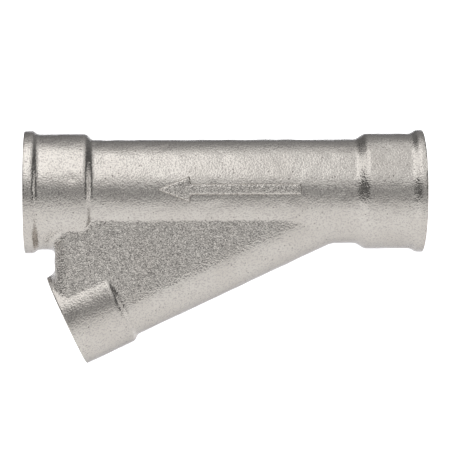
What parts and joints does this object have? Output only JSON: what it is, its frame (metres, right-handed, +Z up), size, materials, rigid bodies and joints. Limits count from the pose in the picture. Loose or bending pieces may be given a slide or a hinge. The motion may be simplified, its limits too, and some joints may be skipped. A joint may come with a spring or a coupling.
{
  "type": "y strainer",
  "caption": "Y-pattern line strainer with female-threaded run, shallow-angle access branch closed by a recessed hex plug, and a withdrawable perforated screen cartridge.",
  "frame": {"origin": "centre of the inlet port's end face, on the run axis", "axes": "+X leaves through the inlet along the run axis, -X is the outlet, +Z up, the branch points down towards the outlet in the plane Y = 0"},
  "size_m": [0.11, 0.034, 0.0643],
  "materials": {
    "nickel_brass": "blasted satin nickel plate",
    "plug_brass": "turned nickel plate",
    "stainless": "bright",
    "mesh_steel": "woven wire",
    "seal": "matt",
    "gasket": "matt"
  },
  "bodies": {
    "housing": {"housing": "nickel_brass"},
    "cartridge": {"seat_gasket": "gasket", "upper_collar": "stainless", "support_tube": "stainless", "mesh_sleeve": "mesh_steel", "lower_collar": "stainless"},
    "plug": {"plug": "plug_brass", "plug_o_ring": "seal", "slip_washer": "stainless", "retaining_ring": "stainless"}
  },
  "joints": [
    {"name": "cartridge_travel", "type": "slide", "parent": "housing", "child": "cartridge", "axis": [-0.9063, 0, -0.4226], "range_m": [0, 0.08]},
    {"name": "plug_turn", "type": "hinge", "parent": "cartridge", "child": "plug", "pos_m": [-0.09764, 0, -0.03499], "axis": [-0.9063, 0, -0.4226], "range_deg": [0, 15874.02]}
  ],
  "couplings": [
    {"joint": "plug_turn", "follows": "cartridge_travel", "rad_per_m": 3463.2}
  ]
}
